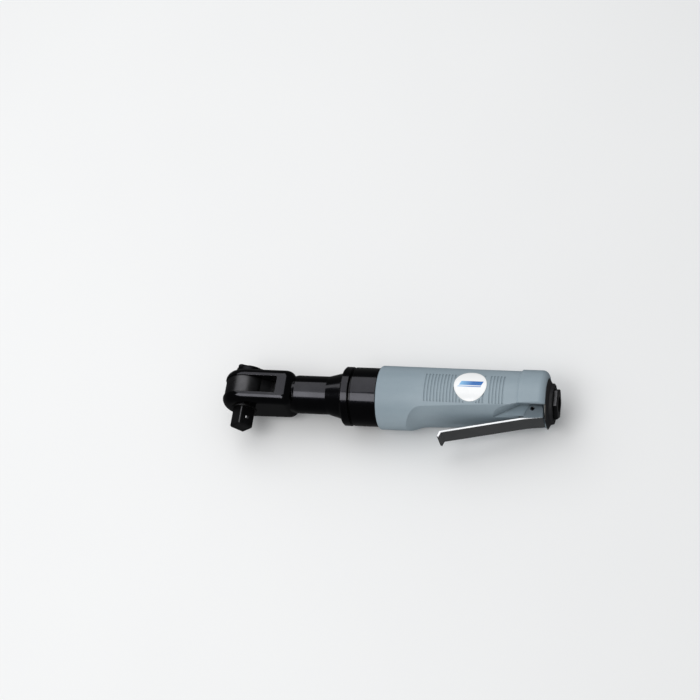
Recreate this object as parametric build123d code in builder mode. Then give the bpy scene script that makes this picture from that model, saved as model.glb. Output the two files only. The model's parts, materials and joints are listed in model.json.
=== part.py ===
from build123d import *
from math import acos, cos, pi, radians, sin, tan
import os

# Air ratchet, half inch drive, lying on its flank.
# The tool axis runs along +X from the head to the air inlet.  The drive axis crosses it
# at right angles and points to -Y.  The origin is on the drive axis, at the shoulder
# that a socket seats against.  Every station below is a distance along the tool axis
# from the drive axis, and every height is a distance from the tool axis.

# Head
EAR_R = 17.5                # round front of the fork
HEAD_HALF = 14.0            # half thickness along the drive axis
HEAD_SIDE = 17.0            # half width of the body behind the fork
HEAD_END = 40.2
HEAD_EDGE = 6.8             # rounding round both flat faces
SHOULDER_R = 8.0            # corners where the head narrows to the neck
SLOT_HALF = 6.9
SLOT_END = 27.2
TAIL_ROOM_END = 38.6        # cavity round the tail of the yoke
TAIL_ROOM_HALF = 13.0
SHOULDER_RISE = 0.8         # round shoulder proud of the head

# Neck, flare and coupling
NECK_R = 14.4
NECK_BORE_R = 9.0
BUSHING_START = 42.0
BUSHING_LENGTH = 16.0
FLARE_START = 65.2
FLARE_R = 17.6
NUT_START = 78.1
NUT_END = 84.2
NUT_R = 22.2
NUT_BORE_R = 19.85
BEARING_START = NUT_START - 8.3
BEARING_LENGTH = 7.0
BEARING_R = 12.0
FLANGE_START = NUT_START + 1.8
FLANGE_END = NUT_START + 6.0
FLANGE_R = 18.4
CARRIER_ROOM_R = 15.8

# Ring gear
GEAR_START = 85.7
GEAR_END = 105.5
GEAR_R = 22.0
GEAR_SPIGOT_R = 19.8
REAR_SPIGOT_R = 18.35
REAR_SPIGOT_END = 113.6
TEETH_END = NUT_START + 19.1
TOOTH_MODULE = 0.8
SUN_TEETH = 12
PLANET_TEETH = 12
RING_TEETH = SUN_TEETH + 2 * PLANET_TEETH
PLANETS = 3
PRESSURE_ANGLE = 25.0
ADDENDUM = 0.64
DEDENDUM = 0.92
BACKLASH = 0.12
CARRIER_R = TOOTH_MODULE * (SUN_TEETH + PLANET_TEETH) / 2
PLANET_START = NUT_START + 6.7
PLANET_END = NUT_START + 16.5
PLANET_PIN_R = 1.6

# Anvil, pawl and reverse knob
SQUARE = 12.7
SQUARE_LENGTH = 14.6
SQUARE_TURN = 40.0          # how far the square stands turned at rest
BOSS_R = 9.3
JOURNAL_R = 10.05
DRUM_R = 12.0
DRUM_HALF = 6.6
REAR_JOURNAL_R = 9.6
ANVIL_BACK = 11.5
STEM_R = 3.95
BALL_R = 1.7
BALL_PROUD = 0.8
PAWL_U = 8.2                # pawl pin from the drive axis
PAWL_HALF = 6.5
PAWL_HEIGHT = 4.0           # half its height along the drive axis
PAWL_TILT = 6.0
PAWL_PIN_R = 1.5
PAWL_PIN_HALF = PAWL_HEIGHT + 1.8
KNOB_TURN = 30.0
KNOB_R = 11.0
KNOB_TOP = 18.2

# Yoke and crank
YOKE_R = 16.8
YOKE_HALF = 6.7
RATCHET_TEETH = 60
RATCHET_TIP_R = 12.7
RATCHET_DEPTH = 0.9
YOKE_TAIL = 10.4
TAIL_WAIST = (22.2, 5.2)    # narrowest place of the tail, before it widens into the fork
YOKE_GAP = 7.2              # half the gap of the fork, with room for the crank's whole circle
YOKE_END = 34.4
WEB_START = 35.0
WEB_END = WEB_START + 3.8
CARRIER_START = NUT_START + 0.7
CARRIER_THICK = 3.8
THROW = 1.8                 # crank pin off the tool axis
CRANK_PIN_R = 2.2
ROLLER_R = 3.2
JOURNAL_CRANK_R = 6.0

# Air motor
CYLINDER_START = NUT_START + 29.5
CYLINDER_END = CYLINDER_START + 38.0
CYLINDER_R = 14.8
CYLINDER_BORE_R = 12.1
ECCENTRIC = 1.2
ROTOR_R = 10.9
ROTOR_SHAFT_R = 4.0
MOTOR_BEARING_R = 8.5
MOTOR_BEARING_LENGTH = 6.3
END_PLATE_BORE_R = 6.4
FRONT_BEARING = CYLINDER_START - 8.7
REAR_BEARING = CYLINDER_END + 1.7
VANES = 5
VANE_THICK = 1.5
DOWEL_R = 0.9
DOWEL_OFF = 12.9
DOWEL_START = CYLINDER_START - 1.6
DOWEL_LENGTH = 41.0
RUNNING = 0.05              # running clearance of a shaft in its hole

# Housing and grip sleeve
HOUSING_R = 21.0
MOTOR_ROOM_END = CYLINDER_END + 9.5
CORE_START = 160.5
CORE_R = 15.5
CORE_END = 229.1
SLEEVE_START = 105.7
SLEEVE_FRONT_R = 23.9
SLEEVE_REAR_R = 23.3
COLLAR_START = 211.8
COLLAR_R = 24.4
REAR_ROUND = 4.6
REAR_BORE_R = 17.4
SLEEVE_END = 230.6
RECESS_FULL = 141.0
RECESS_RUN_OUT = 17.0       # radius of both arcs of the S that leads into the recess
RECESS_SWING = 37.0         # how far each of those arcs turns, in degrees
RECESS_FLOOR = 17.9         # where the recess is full, below the tool axis
RECESS_SLOPE = 2.4          # the floor rises towards the rear, in degrees
RECESS_CURVE = 51.0         # the recess is a flatter curve than the sleeve
SKIN = 1.1                  # sleeve left under the recess
POCKET_START = 211.0
BOSS_END = 227.8
RAMP_START = 191.0
RAMP_SECTION = (-15.9, -13.6, 19.5)     # height at the boss, height at the rim, half width
POCKET_SECTION = (-4.6, -10.2, 22.5)
SCOOP_FLAT = 2.3            # flat foot of the scoop beside the boss
BOSS_HALF = 6.6
BOSS_TOP = 13.4
RIB_START = 142.7
RIB_PITCH = 2.4
RIBS = 25
RIB_SPREAD = 56.0
RIB_DEPTH = 0.5
LABEL_STATION = 176.0
LABEL_TILT = 5.0            # round the flank from +Z towards the back
LABEL_R = 12.0
LABEL_THICK = 0.25

# Throttle lever and valve
PIVOT_STATION = 220.5
PIVOT_DROP = 8.0
LEVER_TIP = 155.6
LEVER_TIP_DROP = 30.0
LEVER_BEND = 215.5          # the web bends a little where the cheeks begin
LEVER_BEND_DROP = 16.7
LEVER_HEEL = 228.6
LEVER_HEEL_DROP = 15.0
LEVER_HALF = 8.5
LEVER_SHEET = 1.5
LIP = (-1.4, -3.6)          # the tip turns outwards in a short lip
LEVER_PIN_R = 1.5
CHEEK_TOP = -5.3
VALVE_STATION = 205.0
VALVE_ROOM_R = 5.0
VALVE_STEM_R = 2.2
STEM_DROP = 16.95           # foot of the stem, just off the lever
VALVE_BALL_R = 4.2

# Air inlet and exhaust
INLET_R = 5.72              # quarter inch pipe thread, at its minor diameter
INLET_END = 238.4
INLET_DEPTH = 11.4
INLET_SHANK = 222.3
SCREEN_START = INLET_END - INLET_DEPTH - 1.0
INLET_RING = 225.3
SHANK_R = 7.8
INLET_FLANGE_R = 10.4
DEFLECTOR_R = 18.8
DEFLECTOR_NECK_R = 15.0
DEFLECTOR_END = 235.2

AXIS_Y = HEAD_HALF + SHOULDER_RISE
CENTRE = (0, AXIS_Y, 0)
TOOL_AXIS = Axis(CENTRE, (1, 0, 0))
DRIVE_AXIS = Axis(CENTRE, (0, -1, 0))

PROFILE = Plane(origin=CENTRE, x_dir=(1, 0, 0), z_dir=(0, 0, 1))
SQUARE_WAY = (cos(radians(SQUARE_TURN)), 0, sin(radians(SQUARE_TURN)))
BALL_PLANE = Plane(
    origin=(SQUARE / 2 * SQUARE_WAY[0], -SQUARE_LENGTH / 2, SQUARE / 2 * SQUARE_WAY[2]),
    z_dir=SQUARE_WAY,
)
PLUNGER_DIR = (cos(radians(KNOB_TURN)), 0, -sin(radians(KNOB_TURN)))
PLUNGER_PLANE = Plane(origin=CENTRE, z_dir=PLUNGER_DIR)
PLUNGER_WAY = Axis(CENTRE, PLUNGER_DIR)
VALVE_PLANE = Plane(origin=(VALVE_STATION, AXIS_Y, 0), z_dir=(0, 1, 0))
LABEL_PLANE = Plane(
    origin=(LABEL_STATION, AXIS_Y, 0),
    x_dir=(1, 0, 0),
    z_dir=(0, sin(radians(LABEL_TILT)), cos(radians(LABEL_TILT))),
)
PIN_PLANE = Plane(origin=(PIVOT_STATION, AXIS_Y - PIVOT_DROP, 0), z_dir=(0, 0, 1))


def across(station, height=0.0, side=0.0):
    """Plane square to the tool axis: its x is row Y and its y is row Z."""
    return Plane(origin=(station, AXIS_Y + height, side), x_dir=(0, 1, 0), z_dir=(1, 0, 0))


def facing_drive(height, turn=0.0, station=0.0):
    """Plane square to the drive axis, facing the square, turned about that axis."""
    x_dir = (cos(radians(turn)), 0, sin(radians(turn)))
    return Plane(origin=(station, AXIS_Y + height, 0), x_dir=x_dir, z_dir=(0, -1, 0))


def outline(points):
    """Closed outline of (station, radius) points, ready to revolve about either axis."""
    with BuildSketch(facing_drive(0)) as flat:
        with BuildLine():
            Polyline(*points, close=True)
        make_face()
    return flat.sketch


def tube(start, end, inner, outer):
    """Outline of a plain tube along the tool axis."""
    return outline([(start, inner), (end, inner), (end, outer), (start, outer)])


def disc(low, high, inner, outer):
    """Outline of a ring about the drive axis, between two heights on it."""
    with BuildSketch(PROFILE) as flat:
        with BuildLine():
            Polyline((inner, low), (outer, low), (outer, high), (inner, high), close=True)
        make_face()
    return flat.sketch


def sleeve_radius(station):
    """Outer radius of the grip sleeve between its front edge and its rear collar."""
    share = (station - SLEEVE_START) / (COLLAR_START - SLEEVE_START)
    return SLEEVE_FRONT_R + (SLEEVE_REAR_R - SLEEVE_FRONT_R) * share


def label_shell(low, high):
    """Outline of a thin shell round the label, from low to high above the tapered sleeve."""
    start = LABEL_STATION - LABEL_R - 5
    end = LABEL_STATION + LABEL_R + 5
    front = sleeve_radius(start)
    rear = sleeve_radius(end)
    return outline([(start, front + low), (end, rear + low), (end, rear + high), (start, front + high)])


def involute(angle):
    return tan(angle) - angle


def gear_outline(teeth, thickness, root, tip, phase, steps=4):
    """Corners of a gear outline with involute flanks; phase turns it, in degrees."""
    pitch_r = TOOTH_MODULE * teeth / 2
    base_r = pitch_r * cos(radians(PRESSURE_ANGLE))
    start = thickness / (2 * pitch_r) + involute(radians(PRESSURE_ANGLE))
    radii = [root + (tip - root) * step / steps for step in range(steps + 1)]
    halves = [start - involute(acos(min(1.0, base_r / r))) for r in radii]
    flank = list(zip(radii, halves))
    corners = []
    for tooth in range(teeth):
        middle = radians(phase) + 2 * pi * tooth / teeth
        for r, half in flank:
            corners.append((r * cos(middle - half), r * sin(middle - half)))
        for r, half in reversed(flank):
            corners.append((r * cos(middle + half), r * sin(middle + half)))
    return corners


def ball_bearing(name, start, end, bore_r, outer_r, balls, ball_r):
    """Two grooved races and a ring of balls, as three nodes."""
    middle = (start + end) / 2
    pitch_r = (bore_r + outer_r) / 2
    groove = ball_r + 0.12
    land = 0.55 * ball_r
    with BuildSketch(facing_drive(0)) as track:
        with Locations((middle, pitch_r)):
            Circle(groove)
    with BuildPart() as inner_race:
        revolve(tube(start, end, bore_r, pitch_r - land), axis=TOOL_AXIS)
        revolve(track.sketch, axis=TOOL_AXIS, mode=Mode.SUBTRACT)
    inner_race.part.label = f"{name}_inner_race"
    export_step(inner_race.part, f"parts/{name}_inner_race.step")
    with BuildPart() as outer_race:
        revolve(tube(start, end, pitch_r + land, outer_r), axis=TOOL_AXIS)
        revolve(track.sketch, axis=TOOL_AXIS, mode=Mode.SUBTRACT)
    outer_race.part.label = f"{name}_outer_race"
    export_step(outer_race.part, f"parts/{name}_outer_race.step")
    with BuildPart(across(middle)) as ring:
        with PolarLocations(pitch_r, balls):
            Sphere(ball_r)
    ring.part.label = f"{name}_balls"
    export_step(ring.part, f"parts/{name}_balls.step")


os.makedirs("parts", exist_ok=True)

# Ratchet housing: fork, neck, flare and the flange that the clamp nut holds
with BuildPart() as ratchet_housing:
    with BuildSketch(facing_drive(HEAD_HALF)):
        with BuildLine():
            front = ThreePointArc((0, EAR_R), (-EAR_R, 0), (0, -EAR_R))
            Polyline(front @ 1, (HEAD_END, -HEAD_SIDE), (HEAD_END, HEAD_SIDE), front @ 0)
        make_face()
        corners = [v for v in vertices() if v.X > HEAD_END - 1]
        fillet(corners, SHOULDER_R)
    extrude(amount=2 * HEAD_HALF)
    rims = edges().filter_by_position(Axis.Y, AXIS_Y + HEAD_HALF, AXIS_Y + HEAD_HALF)
    rims += edges().filter_by_position(Axis.Y, AXIS_Y - HEAD_HALF, AXIS_Y - HEAD_HALF)
    fillet(rims, HEAD_EDGE)
    neck = [
        (HEAD_END - 6, 0),
        (HEAD_END - 6, NECK_R - 1.6),
        (HEAD_END + 0.6, NECK_R),
        (FLARE_START, NECK_R),
        (NUT_START - 1.0, FLARE_R),
        (FLANGE_START, FLARE_R),
        (FLANGE_START, FLANGE_R),
        (FLANGE_END, FLANGE_R),
        (FLANGE_END, 0),
    ]
    revolve(outline(neck), axis=TOOL_AXIS)
    with BuildSketch(facing_drive(SLOT_HALF)):
        with Locations(((SLOT_END - 30) / 2, 0)):
            Rectangle(SLOT_END + 30, 60)
    extrude(amount=2 * SLOT_HALF, mode=Mode.SUBTRACT)
    with BuildSketch(facing_drive(SLOT_HALF)):
        with Locations(((SLOT_END + TAIL_ROOM_END) / 2 - 1, 0)):
            Rectangle(TAIL_ROOM_END - SLOT_END + 2, 2 * TAIL_ROOM_HALF)
    extrude(amount=2 * SLOT_HALF, mode=Mode.SUBTRACT)
    revolve(tube(TAIL_ROOM_END - 1, FLANGE_END + 1, 0, NECK_BORE_R), axis=TOOL_AXIS, mode=Mode.SUBTRACT)
    revolve(tube(BEARING_START - 0.2, FLANGE_END + 1, 0, BEARING_R), axis=TOOL_AXIS, mode=Mode.SUBTRACT)
    revolve(tube(NUT_START + 0.1, FLANGE_END + 1, 0, CARRIER_ROOM_R), axis=TOOL_AXIS, mode=Mode.SUBTRACT)
    revolve(disc(-HEAD_HALF - 1, 0, 0, JOURNAL_R + RUNNING), axis=DRIVE_AXIS, mode=Mode.SUBTRACT)
    revolve(disc(0, HEAD_HALF + 1, 0, 12.4), axis=DRIVE_AXIS, mode=Mode.SUBTRACT)
    revolve(disc(12.05, 13.15, 0, 12.95), axis=DRIVE_AXIS, mode=Mode.SUBTRACT)
ratchet_housing.part.label = "ratchet_housing"
export_step(ratchet_housing.part, "parts/ratchet_housing.step")

# Clamp nut: its front lip holds the flange of the ratchet housing
with BuildPart() as clamp_nut:
    nut = [
        (NUT_START, FLARE_R + 0.1),
        (FLANGE_START - 0.05, FLARE_R + 0.1),
        (FLANGE_START - 0.05, NUT_BORE_R),
        (NUT_END, NUT_BORE_R),
        (NUT_END, NUT_R - 0.5),
        (NUT_END - 0.5, NUT_R),
        (NUT_START + 0.9, NUT_R),
        (NUT_START, NUT_R - 0.9),
    ]
    revolve(outline(nut), axis=TOOL_AXIS)
clamp_nut.part.label = "clamp_nut"
export_step(clamp_nut.part, "parts/clamp_nut.step")

# Ring gear: the exposed steel cylinder, with internal teeth and a spigot at each end
ring_pitch = TOOTH_MODULE * RING_TEETH / 2
space = pi * TOOTH_MODULE / 2 + BACKLASH
with BuildPart() as ring_gear:
    shell = [
        (FLANGE_START + 1.4, FLANGE_R + 0.05),
        (FLANGE_END + 0.2, FLANGE_R + 0.05),
        (FLANGE_END + 0.2, ring_pitch - ADDENDUM),
        (TEETH_END, ring_pitch - ADDENDUM),
        (TEETH_END, CYLINDER_R),
        (REAR_SPIGOT_END, CYLINDER_R),
        (REAR_SPIGOT_END, REAR_SPIGOT_R),
        (GEAR_END, REAR_SPIGOT_R),
        (GEAR_END, GEAR_R - 0.4),
        (GEAR_END - 0.4, GEAR_R),
        (GEAR_START + 0.5, GEAR_R),
        (GEAR_START, GEAR_R - 0.5),
        (GEAR_START, GEAR_SPIGOT_R),
        (FLANGE_START + 1.4, GEAR_SPIGOT_R),
    ]
    revolve(outline(shell), axis=TOOL_AXIS)
    with BuildSketch(across(FLANGE_END)):
        with BuildLine():
            inner = ring_pitch - ADDENDUM - 0.3
            outer = ring_pitch + DEDENDUM
            Polyline(*gear_outline(RING_TEETH, space, inner, outer, 180 / RING_TEETH), close=True)
        make_face()
    extrude(amount=TEETH_END - FLANGE_END, mode=Mode.SUBTRACT)
ring_gear.part.label = "ring_gear"
export_step(ring_gear.part, "parts/ring_gear.step")

# Crank bushing: bronze sleeve in the neck
with BuildPart() as crank_bushing:
    bush = tube(BUSHING_START, BUSHING_START + BUSHING_LENGTH, JOURNAL_CRANK_R + RUNNING, NECK_BORE_R)
    revolve(bush, axis=TOOL_AXIS)
crank_bushing.part.label = "crank_bushing"
export_step(crank_bushing.part, "parts/crank_bushing.step")

bearing_end = BEARING_START + BEARING_LENGTH
ball_bearing("carrier_bearing", BEARING_START, bearing_end, JOURNAL_CRANK_R, BEARING_R, 8, 1.7)

# Crankshaft: offset pin, web, journal and planet carrier in one piece
with BuildPart() as crankshaft:
    revolve(tube(WEB_START, WEB_END, 0, 6.4), axis=TOOL_AXIS)
    revolve(tube(WEB_END, CARRIER_START, 0, JOURNAL_CRANK_R), axis=TOOL_AXIS)
    revolve(tube(CARRIER_START - 1.3, CARRIER_START, 0, 7.4), axis=TOOL_AXIS)
    revolve(tube(CARRIER_START, CARRIER_START + CARRIER_THICK, 0, 15.3), axis=TOOL_AXIS)
    with BuildSketch(across(WEB_START - 7.4, THROW)):
        Circle(CRANK_PIN_R)
    extrude(amount=8.0)
    with BuildSketch(across(CARRIER_START - 0.2)):
        with PolarLocations(CARRIER_R, PLANETS):
            Circle(PLANET_PIN_R)
    extrude(amount=6.0, mode=Mode.SUBTRACT)
crankshaft.part.label = "crankshaft"
export_step(crankshaft.part, "parts/crankshaft.step")

# Drive roller: turns on the crank pin, between the prongs of the yoke
with BuildPart() as drive_roller:
    with BuildSketch(across(WEB_START - 7.0, THROW)):
        Circle(ROLLER_R)
        Circle(CRANK_PIN_R + RUNNING, mode=Mode.SUBTRACT)
    extrude(amount=6.2)
drive_roller.part.label = "drive_roller"
export_step(drive_roller.part, "parts/drive_roller.step")

# Planet pins and the plate that ties their ends together
with BuildPart() as planet_pins:
    with BuildSketch(across(CARRIER_START - 0.2)):
        with PolarLocations(CARRIER_R, PLANETS):
            Circle(PLANET_PIN_R)
    extrude(amount=18.2)
planet_pins.part.label = "planet_pins"
export_step(planet_pins.part, "parts/planet_pins.step")

with BuildPart() as carrier_plate:
    with BuildSketch(across(CARRIER_START + 16.2)):
        Circle(12.6)
        Circle(6.2, mode=Mode.SUBTRACT)
        with PolarLocations(CARRIER_R, PLANETS):
            Circle(PLANET_PIN_R, mode=Mode.SUBTRACT)
    extrude(amount=1.8)
carrier_plate.part.label = "carrier_plate"
export_step(carrier_plate.part, "parts/carrier_plate.step")

# Planet gears: each stands with a tooth space towards the sun
planet_pitch = TOOTH_MODULE * PLANET_TEETH / 2
tooth = pi * TOOTH_MODULE / 2 - BACKLASH
for number in range(PLANETS):
    place = radians(360 / PLANETS * number)
    with BuildPart() as planet_gear:
        with BuildSketch(across(PLANET_START, CARRIER_R * cos(place), CARRIER_R * sin(place))):
            with BuildLine():
                low = planet_pitch - DEDENDUM
                high = planet_pitch + ADDENDUM
                Polyline(*gear_outline(PLANET_TEETH, tooth, low, high, 180 / PLANET_TEETH), close=True)
            make_face()
            Circle(PLANET_PIN_R + RUNNING, mode=Mode.SUBTRACT)
        extrude(amount=PLANET_END - PLANET_START)
    planet_gear.part.label = f"planet_gear_{number + 1}"
    export_step(planet_gear.part, f"parts/planet_gear_{number + 1}.step")

# Yoke: toothed ring round the anvil, with a forked tail that the crank swings
with BuildPart() as ratchet_yoke:
    with BuildSketch(facing_drive(YOKE_HALF)):
        Circle(YOKE_R)
        with BuildLine():
            Polyline(
                (3, 16.4), TAIL_WAIST, (TAIL_WAIST[0] + 2.6, YOKE_TAIL), (YOKE_END, YOKE_TAIL),
                (YOKE_END, -YOKE_TAIL), (TAIL_WAIST[0] + 2.6, -YOKE_TAIL), (TAIL_WAIST[0], -TAIL_WAIST[1]),
                (3, -16.4), close=True,
            )
        make_face()
        Circle(RATCHET_TIP_R, mode=Mode.SUBTRACT)
        with PolarLocations(RATCHET_TIP_R - 0.1, RATCHET_TEETH):
            Triangle(
                c=1.2, a=1.25, b=1.25, rotation=-90, align=(Align.CENTER, Align.MIN), mode=Mode.SUBTRACT,
            )
        with Locations((WEB_START - 9.0, 0)):
            Rectangle(20, 2 * YOKE_GAP, align=(Align.MIN, Align.CENTER), mode=Mode.SUBTRACT)
    extrude(amount=2 * YOKE_HALF)
ratchet_yoke.part.label = "ratchet_yoke"
export_step(ratchet_yoke.part, "parts/ratchet_yoke.step")

# Anvil: square drive, journals and the drum with its pawl pocket
with BuildPart() as anvil:
    revolve(disc(-AXIS_Y, -HEAD_HALF, 0, BOSS_R), axis=DRIVE_AXIS)
    revolve(disc(-HEAD_HALF, -DRUM_HALF, 0, JOURNAL_R), axis=DRIVE_AXIS)
    revolve(disc(-DRUM_HALF, DRUM_HALF, 0, DRUM_R), axis=DRIVE_AXIS)
    revolve(disc(DRUM_HALF, ANVIL_BACK, 0, REAR_JOURNAL_R), axis=DRIVE_AXIS)
    with BuildSketch(facing_drive(-AXIS_Y + 0.5, SQUARE_TURN)):
        RectangleRounded(SQUARE, SQUARE, 1.4)
    extrude(amount=SQUARE_LENGTH + 0.5)
    tip = faces().sort_by(Axis.Y)[0]
    chamfer(tip.edges(), 0.9)
    revolve(disc(-2, ANVIL_BACK + 1, 0, STEM_R + RUNNING), axis=DRIVE_AXIS, mode=Mode.SUBTRACT)
    with BuildSketch(facing_drive(PAWL_HEIGHT + 0.2)):
        with Locations((5.0, 0)):
            Rectangle(10, 2 * PAWL_HALF + 2.2, align=(Align.MIN, Align.CENTER))
    extrude(amount=2 * PAWL_HEIGHT + 0.4, mode=Mode.SUBTRACT)
    with BuildSketch(facing_drive(1.4)):
        Rectangle(6, 9.2, align=(Align.MIN, Align.CENTER))
    extrude(amount=2.8, mode=Mode.SUBTRACT)
    with BuildSketch(facing_drive(PAWL_PIN_HALF)):
        with Locations((PAWL_U, 0)):
            Circle(PAWL_PIN_R)
    extrude(amount=2 * PAWL_PIN_HALF, mode=Mode.SUBTRACT)
    with BuildSketch(BALL_PLANE):
        Circle(BALL_R + RUNNING)
    extrude(amount=-5.2, mode=Mode.SUBTRACT)
anvil.part.label = "anvil"
export_step(anvil.part, "parts/anvil.step")

# Socket ball and its spring, in the blind hole on one face of the square
with BuildPart(BALL_PLANE.offset(BALL_PROUD - BALL_R)) as socket_ball:
    Sphere(BALL_R)
socket_ball.part.label = "socket_ball"
export_step(socket_ball.part, "parts/socket_ball.step")

with BuildPart() as socket_ball_spring:
    with BuildSketch(BALL_PLANE.offset(-5.1)):
        Circle(1.4)
        Circle(0.9, mode=Mode.SUBTRACT)
    extrude(amount=1.85)
socket_ball_spring.part.label = "socket_ball_spring"
export_step(socket_ball_spring.part, "parts/socket_ball_spring.step")

# Pawl: a two-ended rocker on its pin, tilted so that one end is out
pawl_pin_place = Plane(
    origin=(PAWL_U, AXIS_Y, 0),
    x_dir=(cos(radians(PAWL_TILT)), 0, sin(radians(PAWL_TILT))),
    z_dir=(0, -1, 0),
)
with BuildPart() as pawl:
    with BuildSketch(pawl_pin_place.offset(-PAWL_HEIGHT)):
        with BuildLine():
            Polyline((1.17, -PAWL_HALF), (-2.0, -PAWL_HALF), (-2.0, PAWL_HALF), (1.17, PAWL_HALF))
            ThreePointArc((1.17, PAWL_HALF), (3.2, 0), (1.17, -PAWL_HALF))
        make_face()
        Circle(PAWL_PIN_R + RUNNING, mode=Mode.SUBTRACT)
    extrude(amount=2 * PAWL_HEIGHT)
pawl.part.label = "pawl"
export_step(pawl.part, "parts/pawl.step")

with BuildPart() as pawl_pin:
    with BuildSketch(pawl_pin_place.offset(-PAWL_PIN_HALF)):
        Circle(PAWL_PIN_R)
    extrude(amount=2 * PAWL_PIN_HALF)
pawl_pin.part.label = "pawl_pin"
export_step(pawl_pin.part, "parts/pawl_pin.step")

# Thrust plate and retaining ring: they keep the anvil in the head
with BuildPart() as thrust_plate:
    revolve(disc(7.0, 12.0, REAR_JOURNAL_R + RUNNING, 12.4), axis=DRIVE_AXIS)
thrust_plate.part.label = "thrust_plate"
export_step(thrust_plate.part, "parts/thrust_plate.step")

with BuildPart() as retaining_ring:
    with BuildSketch(facing_drive(13.1)):
        Circle(12.9)
        Circle(10.9, mode=Mode.SUBTRACT)
        with Locations((-12, 0)):
            Rectangle(5, 3.0, mode=Mode.SUBTRACT)
        with Locations((-11.0, 2.6), (-11.0, -2.6)):
            Circle(1.3)
        with Locations((-11.0, 2.6), (-11.0, -2.6)):
            Circle(0.6, mode=Mode.SUBTRACT)
    extrude(amount=1.0)
retaining_ring.part.label = "retaining_ring"
export_step(retaining_ring.part, "parts/retaining_ring.step")

# Reverse knob: a grip bar on a round head, with a stem down the middle of the anvil
with BuildPart() as reverse_knob:
    with BuildSketch(facing_drive(KNOB_TOP, -KNOB_TURN)):
        Circle(KNOB_R)
    extrude(amount=KNOB_TOP - HEAD_HALF - 0.3)
    rim = faces().sort_by(Axis.Y)[-1].edges()
    fillet(rim, 1.2)
    with BuildSketch(facing_drive(HEAD_HALF + 0.3, -KNOB_TURN)):
        Circle(8.6)
    extrude(amount=HEAD_HALF + 0.3 - ANVIL_BACK - 0.2)
    with BuildSketch(facing_drive(ANVIL_BACK + 0.3, -KNOB_TURN)):
        Circle(STEM_R)
    extrude(amount=ANVIL_BACK + 0.3 + 1.7)
    with BuildSketch(facing_drive(KNOB_TOP + 3.0, -KNOB_TURN)):
        SlotOverall(2 * KNOB_R - 1.5, 5.6)
    extrude(amount=4.0)
    top = faces().sort_by(Axis.Y)[-1]
    fillet(top.edges(), 1.0)
    with BuildSketch(PLUNGER_PLANE.offset(-3.2)):
        Circle(1.2)
    extrude(amount=8, mode=Mode.SUBTRACT)
reverse_knob.part.label = "reverse_knob"
export_step(reverse_knob.part, "parts/reverse_knob.step")

# Plunger and spring in the stem: they tip the pawl to one side or the other
with BuildPart() as pawl_plunger:
    with BuildSketch(PLUNGER_PLANE.offset(2.4)):
        Circle(1.1)
    extrude(amount=3.4)
    nose = faces().sort_by(PLUNGER_WAY)[-1]
    fillet(nose.edges(), 0.9)
pawl_plunger.part.label = "pawl_plunger"
export_step(pawl_plunger.part, "parts/pawl_plunger.step")

with BuildPart() as plunger_spring:
    with BuildSketch(PLUNGER_PLANE.offset(-3.1)):
        Circle(1.0)
        Circle(0.6, mode=Mode.SUBTRACT)
    extrude(amount=5.4)
plunger_spring.part.label = "plunger_spring"
export_step(plunger_spring.part, "parts/plunger_spring.step")

# Air motor: front end plate, cylinder, rotor with its pinion, vanes and rear end plate
with BuildPart() as front_end_plate:
    plate = [
        (TEETH_END + 0.6, END_PLATE_BORE_R),
        (FRONT_BEARING, END_PLATE_BORE_R),
        (FRONT_BEARING, MOTOR_BEARING_R),
        (FRONT_BEARING + MOTOR_BEARING_LENGTH, MOTOR_BEARING_R),
        (FRONT_BEARING + MOTOR_BEARING_LENGTH, ROTOR_SHAFT_R + 0.3),
        (CYLINDER_START, ROTOR_SHAFT_R + 0.3),
        (CYLINDER_START, CYLINDER_R),
        (TEETH_END + 0.6, CYLINDER_R),
    ]
    revolve(outline(plate), axis=TOOL_AXIS)
    with BuildSketch(across(DOWEL_START, 0, -DOWEL_OFF)):
        Circle(DOWEL_R)
    extrude(amount=DOWEL_LENGTH, mode=Mode.SUBTRACT)
front_end_plate.part.label = "front_end_plate"
export_step(front_end_plate.part, "parts/front_end_plate.step")

front_bearing_end = FRONT_BEARING + MOTOR_BEARING_LENGTH
ball_bearing("front_bearing", FRONT_BEARING, front_bearing_end, ROTOR_SHAFT_R, MOTOR_BEARING_R, 8, 1.25)

with BuildPart() as motor_cylinder:
    with BuildSketch(across(CYLINDER_START)):
        Circle(CYLINDER_R)
        with Locations((0, ECCENTRIC)):
            Circle(CYLINDER_BORE_R, mode=Mode.SUBTRACT)
    extrude(amount=CYLINDER_END - CYLINDER_START)
    with BuildSketch(across(DOWEL_START, 0, -DOWEL_OFF)):
        Circle(DOWEL_R)
    extrude(amount=DOWEL_LENGTH, mode=Mode.SUBTRACT)
    cylinder_middle = (CYLINDER_START + CYLINDER_END) / 2
    with BuildSketch(Plane(origin=(cylinder_middle, AXIS_Y, 0), x_dir=(1, 0, 0), z_dir=(0, 1, 0))):
        with GridLocations(7, 1, 4, 1):
            Circle(2.0)
    extrude(amount=CYLINDER_R + 1, mode=Mode.SUBTRACT)
motor_cylinder.part.label = "motor_cylinder"
export_step(motor_cylinder.part, "parts/motor_cylinder.step")

with BuildPart() as dowel_pin:
    with BuildSketch(across(DOWEL_START, 0, -DOWEL_OFF)):
        Circle(DOWEL_R)
    extrude(amount=DOWEL_LENGTH)
dowel_pin.part.label = "dowel_pin"
export_step(dowel_pin.part, "parts/dowel_pin.step")

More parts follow.
